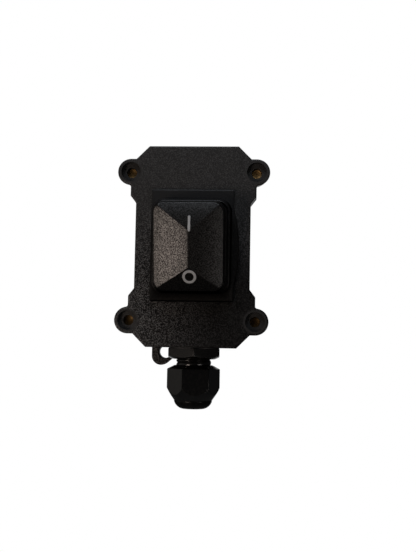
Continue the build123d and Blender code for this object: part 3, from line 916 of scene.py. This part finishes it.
        # painted shade on the lower and right sides, carried as a mesh attribute
        facing_right, facing_down = np.clip(turn[:, 0], 0.0, 1.0), np.clip(-turn[:, 1], 0.0, 1.0)
        shade = np.maximum(section.low_shade * facing_down, section.right_shade * facing_right)
        # painted sheen: the right side gets an extra share of the shining sand coat
        sand = np.clip(share ** 2 + self.rub * section.rub * facing_right, 0.0, 1.0)
        for name, values in (("sand", sand), ("shade", shade)):
            boot.data.attributes.new(name, "FLOAT", "POINT").data.foreach_set("value", values.ravel())
        start, end = ((0.0, -(self.cover_face + level) * MM, 0.0) for level in self.bend)
        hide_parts("rocker_boot")
        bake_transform(boot)
        return boot

    def build_marks(self) -> None:
        """Lays the upright bar and the ring on the roof as thin raised bands, and paints them.

        A band's section is a flattened superellipse, with the roots of the cosine and the sine. The bar
        carries it along a straight line with drawn-in ends, and the ring carries it round a circle.
        """
        turn = round_angles(self.mark_columns)
        flat = np.sign(np.cos(turn)) * np.abs(np.cos(turn)) ** 0.5
        rise = self.mark_half_thick * np.sign(np.sin(turn)) * np.abs(np.sin(turn)) ** 0.5
        along = np.linspace(-1.0, 1.0, self.bar_rings)[:, None]
        drawn = np.clip((1.0 - np.abs(along)) / self.bar_drawn, self.bar_tip, 1.0) ** 0.5
        bar_x = self.bar_place[0] + self.bar_half[0] * flat * drawn
        bar_y = self.bar_place[1] + self.bar_half[1] * along + 0.0 * flat
        around = round_angles(self.ring_rings)[:, None]
        reach = self.ring_reach + self.ring_half * flat
        ring_x = self.ring_place[0] + reach * np.cos(around)
        ring_y = self.ring_place[1] + reach * np.sin(around)
        ink = Worn("mark_paint", (0.175, 0.18, 0.185), (0.14, 0.145, 0.15), roughness=0.5, grain=0.5).make()
        marks = (
            ("mark_bar", bar_x, bar_y, rise * drawn, Ends.CAPPED),
            ("mark_ring", ring_x, ring_y, rise + 0.0 * around, Ends.JOINED),
        )
        for name, x, y, lift, ends in marks:
            upright = np.stack([x, y, self.roof_height(x, y) + lift], axis=-1)
            mark = loops_to_object(name, self.bent(upright, np.ones(x.shape)), ends, self.mark_crease)
            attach(mark, "rocker")
            paint(mark, ink)

    def build(self) -> None:
        """Builds and dresses the boot and its marks."""
        rubber = BootRubber(
            "boot_rubber", low=(0.0006,) * 3, high=(0.0045, 0.0041, 0.0038),
            roughness=0.5, grain=0.33, depth=0.02, gloss=0.05,
        )
        paint(self.build_boot(), rubber.make())
        self.build_marks()


@dataclass
class CableGland:
    """Gland body with its external thread and the domed sealing nut, as turned and hexed surfaces.

    The throat's rows inside the nut give a radius over the mouth's and a height over the nut's end.
    """

    axis_y: float
    washer_end: float
    body_top: float
    body_end: float
    nut_end: float
    nut_top: float
    columns: int = 360
    crease: float = 32.0

    hex_flats: float = 17.6
    hex_turn: float = 34.0
    hex_high: float = 3.7
    hex_edge: tuple = (0.3, 0.25)
    hex_cone: tuple = (2.6, 1.15)
    hex_rings: int = 16
    entry_r: float = 6.25
    thread_r: float = 6.1
    thread_deep: float = 0.45
    thread_pitch: float = 1.95
    thread_fade: float = 0.4
    thread_rings: int = 96
    crest_power: float = 0.3
    bore_r: float = 4.7
    neck_r: float = 3.9
    seat_below: float = 1.3

    nut_flats: float = 16.0
    nut_turn: float = 9.0
    nut_hex_high: float = 7.8
    nut_lip: float = 0.5
    nut_corner: float = 0.15
    top_cone: tuple = (2.5, 1.3)
    top_blunt: float = 0.1
    taper_high: float = 4.2
    taper_r: float = 6.65
    taper_swell: float = 0.15
    taper_rings: int = 28
    mouth_r: float = 3.6
    nose_power: float = 1.15
    nose_rings: int = 14
    throat: tuple = ((0.0, 0.35), (0.0, 3.6), (1.3, 3.65))
    nut_bore_gap: float = 0.05
    nut_bore_from: float = 8.0
    nut_bore_stop: float = 0.4
    skin_fade: float = 0.5

    def hexagon(self, flats: float, turned: float) -> np.ndarray:
        """Radius of each column: half the width across flats over the cosine of the angle from a flat."""
        from_flat = np.mod(round_angles(self.columns) - math.radians(turned), TURN / 6) - TURN / 12
        return flats / 2 / np.cos(from_flat)

    def taper_end(self) -> float:
        """Height where the nut's taper ends and its nose begins."""
        return self.nut_top - self.nut_hex_high - self.taper_high

    def body(self) -> tuple[np.ndarray, np.ndarray]:
        """Hexagon, thread and stepped bore in one closed section.

        The thread's radius falls from the crest to the root by a cosine of the height less the angle, so its
        ridge climbs by one pitch a turn. A power below one keeps the crest broad and the root narrow.

        Returns:
            Radii, rows by columns, and each row's height.
        """
        hexagon = self.hexagon(self.hex_flats, self.hex_turn)
        hex_end = self.washer_end - self.hex_high
        widest = self.hex_flats / math.sqrt(3)
        edge_in, edge_high = self.hex_edge
        cone_in, cone_high = self.hex_cone
        share = np.linspace(0.0, 1.0, self.hex_rings)
        top = np.array([self.entry_r, self.entry_r, widest - edge_in, widest])
        top_z = np.array([self.body_top, self.washer_end, self.washer_end, self.washer_end - edge_high])
        cone = np.concatenate([top, widest - cone_in * share])
        cone_z = np.concatenate([top_z, hex_end + cone_high * (1.0 - share)])
        head = np.minimum(hexagon, cone[:, None])
        z = np.linspace(hex_end, self.body_end, self.thread_rings)
        wave = 0.5 + 0.5 * np.cos(TURN * (z[:, None] / self.thread_pitch) - round_angles(self.columns))
        from_end = np.minimum(hex_end - z, z - self.body_end)
        ends = np.clip(from_end / self.thread_fade, 0.0, 1.0)[:, None]
        thread = self.thread_r - self.thread_deep * (1.0 - wave ** self.crest_power * ends)
        seat = hex_end - self.seat_below
        bore = np.array([self.bore_r, self.bore_r, self.neck_r, self.neck_r])
        bore_z = np.array([self.body_end, seat, seat, self.body_top])
        radius = np.concatenate([head, thread, np.repeat(bore[:, None], self.columns, 1)])
        return radius, np.concatenate([cone_z, z, bore_z])

    def nut(self) -> tuple[np.ndarray, np.ndarray]:
        """Hexagon cut by a short cone above and a long one below, then a rounded nose up to the mouth.

        The radius is the smaller of the hexagon's and the turned profile's. The nose is a quarter of a
        superellipse, with powers of the cosine and the sine.

        Returns:
            Radii, rows by columns, and each row's height.
        """
        hexagon = self.hexagon(self.nut_flats, self.nut_turn)
        widest = self.nut_flats / math.sqrt(3)
        hex_end, taper_end = self.nut_top - self.nut_hex_high, self.taper_end()
        cone_in, cone_high = self.top_cone
        bore = self.thread_r + self.nut_bore_gap
        share = np.linspace(0.0, 1.0, self.taper_rings)
        nose = np.linspace(0.0, TURN / 4, self.nose_rings)[1:]
        throat_r, throat_z = np.array(self.throat).T
        profile = np.concatenate([
            [bore + self.nut_lip, widest - cone_in, widest - self.nut_corner, widest],
            mix(widest, self.taper_r, share) + self.taper_swell * np.sin(math.pi * share),
            mix(self.mouth_r, self.taper_r, np.cos(nose) ** self.nose_power),
            self.mouth_r + throat_r,
            [bore, bore],
        ])
        z = np.concatenate([
            self.nut_top - np.array([0.0, 0.0, cone_high - self.top_blunt, cone_high + self.top_blunt]),
            mix(hex_end, taper_end, share),
            mix(taper_end, self.nut_end, np.sin(nose) ** self.nose_power),
            self.nut_end + throat_z,
            [self.nut_end + self.nut_bore_from, self.nut_top - self.nut_bore_stop],
        ])
        return np.minimum(hexagon, profile[:, None]), z

    def build(self) -> None:
        """Turns the body and the nut about the gland's upright axis, and dresses every gland piece."""
        nose = self.taper_end()
        satin = GlandPlastic(
            "gland_plastic", low=(0.0012,) * 3, high=(0.0026, 0.0024, 0.0023),
            roughness=0.3, grain=0.9, depth=0.004, gloss=0.05,
            skin_up=(nose - self.skin_fade, nose + self.skin_fade),
        )
        rubber = Rubber(
            "gland_rubber", (0.02,) * 3, (0.035, 0.035, 0.034), roughness=0.65, grain=0.3, depth=0.02,
        )
        plastic = satin.make()
        angle = round_angles(self.columns)
        turned = (("gland_screw", "gland_body", *self.body()), ("gland_cap", "gland_nut", *self.nut()))
        for name, node, radius, z in turned:
            high = np.broadcast_to(z[:, None], radius.shape)
            points = np.stack([radius * np.cos(angle), self.axis_y + radius * np.sin(angle), high], axis=-1)
            piece = loops_to_object(name, points, Ends.JOINED, self.crease)
            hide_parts(node)
            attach(piece, "case")
            paint(piece, plastic)
        dress_nodes(plastic, "gland_claw", "gland_locknut")
        dress_nodes(rubber.make(), "gland_seal", "gland_washer")


@dataclass
class SwitchWorks:
    """Rocker, housing, plungers, springs, levers, contacts and terminals inside the boot and the box."""

    pivot_out: float
    press_way: tuple
    spring_foot: float = -0.6
    spring_top: float = 4.6
    wire_r: float = 0.2
    coil_r: float = 1.22
    turns: int = 4
    rings_per_turn: int = 30
    wire_columns: int = 12
    crease: float = 50.0

    def build_spring(self, pole: Pole) -> Object:
        """One spring, a round wire wound on a helix.

        The wire's middle turns about the plunger's axis at the coil's radius and climbs evenly. Each ring of
        the wire lies square to that path.

        Args:
            pole: the pole that the spring belongs to.
        Returns:
            The spring.
        """
        side = pole.value
        low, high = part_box(f"spring_{side}")
        middle = np.array([(low.x + high.x) / 2 / MM, -self.pivot_out, 0.0])
        up = np.array(self.press_way)
        across = np.array([1.0, 0.0, 0.0])
        along = np.cross(up, across)
        foot, top = self.spring_foot + self.wire_r, self.spring_top - self.wire_r
        turn = np.linspace(0.0, TURN * self.turns, self.turns * self.rings_per_turn + 1)[:, None]
        climb = (top - foot) / turn[-1]
        outward = np.cos(turn) * across + np.sin(turn) * along
        path = middle + self.coil_r * outward + (foot + climb * turn) * up
        ahead = self.coil_r * (np.cos(turn) * along - np.sin(turn) * across) + climb * up
        beside = np.cross(ahead / np.linalg.norm(ahead, axis=1, keepdims=True), outward)
        angle = round_angles(self.wire_columns)[:, None]
        ring = np.cos(angle) * outward[:, None] + np.sin(angle) * beside[:, None]
        points = path[:, None] + self.wire_r * ring
        spring = loops_to_object(f"coil_{side}", points, Ends.CAPPED, self.crease)
        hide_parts(f"spring_{side}")
        held, pressed = (tuple((middle + level * up) * MM) for level in (top, foot))
        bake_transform(spring)
        return spring

    def build(self) -> None:
        """Gives each inner piece the finish of its material and builds the springs."""
        black = Grained("works_plastic", (0.014,) * 3, (0.028,) * 3, roughness=0.45, grain=0.5, depth=0.03)
        brass = TurnedMetal(
            "terminal_brass", (0.78, 0.58, 0.27), (0.55, 0.38, 0.16), roughness=0.28, grain=0.15,
        )
        silver = TurnedMetal(
            "contact_silver", (0.82, 0.81, 0.78), (0.62, 0.6, 0.56), roughness=0.22, grain=0.1,
        )
        steel = TurnedMetal(
            "spring_steel", (0.56, 0.56, 0.57), (0.4, 0.39, 0.38), roughness=0.3, grain=0.1,
        )
        dress_nodes(black.make(), "rocker", "switch_housing", *Pole.both("plunger"))
        dress_nodes(brass.make(), *Pole.both("lever", "common_terminal", "load_terminal"))
        dress_nodes(silver.make(), *Pole.both("lever_contact", "load_contact"))
        wire = steel.make()
        for pole in Pole:
            paint(self.build_spring(pole), wire)


@dataclass(frozen=True)
class Lamp:
    """A soft square lamp: direction from the switch, distance and side in metres, power and colour."""

    name: str
    towards: tuple
    far_m: float
    side_m: float
    watts: float
    colour: tuple

    def add(self, aim: Vector) -> None:
        """Adds the lamp.

        Args:
            aim: the point that it looks at, in metres.
        """
        data = bpy.data.lights.new(self.name, "AREA")
        data.energy = self.watts
        data.size = self.side_m
        data.color = self.colour
        lamp = bpy.data.objects.new(self.name, data)
        way = Vector(self.towards).normalized()
        lamp.location = aim + way * self.far_m
        lamp.rotation_euler = way.to_track_quat("Z", "Y").to_euler()
        bpy.context.scene.collection.objects.link(lamp)


@dataclass
class Studio:
    """Pale floor, soft lamps, white surroundings and the camera, at the place that the photograph tells."""

    aim: tuple = (5.43, -34.0, -9.98)
    distance: float = 258.88
    azimuth: float = 3.341
    elevation: float = -4.72
    roll: float = -1.038
    view_high: float = 38.8
    near: float = 10.0
    floor_drop: float = 1000.0
    floor_reach_m: float = 6.0
    floor_white: float = 0.9
    floor_fade_m: tuple = (1.0, 1.6)
    fibre: float = 40.0
    paper: tuple = (0.86, 0.9)
    white: tuple = (1.0,) * 4
    room: float = 0.03
    room_colour: tuple = (0.96, 0.98, 1.0, 1.0)
    behind: tuple = (0.9, 0.99)
    lamps: tuple = (
        Lamp("key_lamp", (-0.55, -0.78, -0.3), 0.45, 0.16, 1.3, (1.0, 0.84, 0.73)),
        Lamp("top_lamp", (-0.05, -0.66, 0.75), 0.6, 0.3, 2.25, (0.88, 0.93, 1.0)),
        Lamp("side_lamp", (0.68, -0.67, -0.3), 0.6, 0.2, 0.6, (1.0, 0.93, 0.88)),
        Lamp("left_card", (-0.985, -0.15, 0.0), 0.6, 0.7, 0.36, (1.0, 0.93, 0.86)),
    )

    def white_behind(self, way: Signal, dim: Signal, kind: str, most: Feed) -> None:
        """Closes a tree with white for camera rays, and for mirrored and transmitted rays behind the object.

        Args:
            way: direction that a ray goes in.
            dim: shader of all other rays.
            kind: node type of the white shader.
            most: the white's largest share.
        """
        graph, paths = way.graph, ("Camera", "Glossy", "Transmission")
        rays = [graph.node("ShaderNodeLightPath", {}, {}, f"Is {path} Ray") for path in paths]
        white = graph.node(kind, {}, {"Color": self.white, "Strength": 1.0})
        behind = way.axis(Axis.Y).between(*self.behind)
        share = rays[0].larger(rays[1].larger(rays[2]) * behind) * most
        graph.close(graph.node("ShaderNodeMixShader", {}, {0: share, 1: dim, 2: white}))

    def floor(self) -> None:
        """Adds a wide pale floor that the camera sees as near white, with the shadow left in it."""
        low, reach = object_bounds()[0].z - self.floor_drop * MM, self.floor_reach_m
        mesh = bpy.data.meshes.new("studio_floor")
        corners = [(-reach, -reach, low), (reach, -reach, low), (reach, reach, low), (-reach, reach, low)]
        mesh.from_pydata(corners, [], [(0, 1, 2, 3)])
        floor = bpy.data.objects.new("studio_floor", mesh)
        bpy.context.scene.collection.objects.link(floor)
        graph = Graph.material("studio_paper")
        place = graph.place()
        dull, bright = ((level,) * 3 for level in self.paper)
        tone = place.noise(self.fibre, 2.0).tint(dull, bright)
        paper = graph.node("ShaderNodeBsdfDiffuse", {}, {"Color": tone})
        way = graph.node("ShaderNodeVectorMath", {"operation": "NORMALIZE"}, {0: place})
        away = graph.node("ShaderNodeVectorMath", {"operation": "LENGTH"}, {0: place}, "Value")
        whiteness = away.between(*self.floor_fade_m) * (1.0 - self.floor_white) + self.floor_white
        self.white_behind(way, paper, "ShaderNodeEmission", whiteness)
        paint(floor, graph.owner)
        floor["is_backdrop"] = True

    def surroundings(self) -> None:
        """Makes the world a dim room that is white behind the object, and all round to the camera."""
        world = bpy.data.worlds.new("studio_world")
        bpy.context.scene.world = world
        graph = Graph(world)
        way = graph.node("ShaderNodeTexCoord", {}, {}, "Generated")
        room = graph.node("ShaderNodeBackground", {}, {"Color": self.room_colour, "Strength": self.room})
        self.white_behind(way, room, "ShaderNodeBackground", 1.0)

    def camera(self) -> None:
        """Places the camera by its aim point, distance, azimuth, elevation and roll."""
        turn, tip, roll = (math.radians(angle) for angle in (self.azimuth, self.elevation, self.roll))
        back = Vector((math.sin(turn) * math.cos(tip), -math.cos(turn) * math.cos(tip), math.sin(tip)))
        level = back.to_track_quat("Z", "Y").to_matrix()
        data = bpy.data.cameras.new("photo_camera")
        data.sensor_fit = "VERTICAL"
        data.angle_y = math.radians(self.view_high)
        data.clip_start = self.near * MM
        camera = bpy.data.objects.new("photo_camera", data)
        turned = level @ Matrix.Rotation(-roll, 3, "Z")
        place = Matrix.Translation((Vector(self.aim) + back * self.distance) * MM)
        camera.matrix_world = place @ turned.to_4x4()
        bpy.context.scene.collection.objects.link(camera)
        bpy.context.scene.camera = camera

    def build(self) -> None:
        """Sets up floor, surroundings, lamps and camera."""
        self.floor()
        self.surroundings()
        for lamp in self.lamps:
            lamp.add(Vector(self.aim) * MM)
        self.camera()
        bpy.context.scene.view_settings.view_transform = "Standard"


def main() -> None:
    """Builds each sub-assembly and the studio in order."""
    logging.basicConfig(level=logging.INFO, format="%(message)s")
    joints = {joint["name"]: joint for joint in frame["joints"]}
    pivot_out = -joints["rocker_tilt"]["pos_m"][1] / MM
    body_low, body_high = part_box("gland_body")
    nut_low, nut_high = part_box("gland_nut")
    gland = CableGland(
        axis_y=(nut_low.y + nut_high.y) / 2 / MM,
        washer_end=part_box("gland_washer")[0].z / MM,
        body_top=body_high.z / MM,
        body_end=body_low.z / MM,
        nut_end=nut_low.z / MM,
        nut_top=nut_high.z / MM,
    )
    case = Case(insert_top=-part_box("brass_inserts")[0].y / MM)
    boot = RockerBoot(pivot_out=pivot_out, cover_face=-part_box("front_cover")[0].y / MM)
    works = SwitchWorks(pivot_out=pivot_out, press_way=tuple(joints["plunger_left_press"]["axis"]))
    for assembly in (case, boot, gland, works, Studio()):
        assembly.build()
        log.info("%s: built", type(assembly).__name__)


if __name__ == "__main__":
    main()
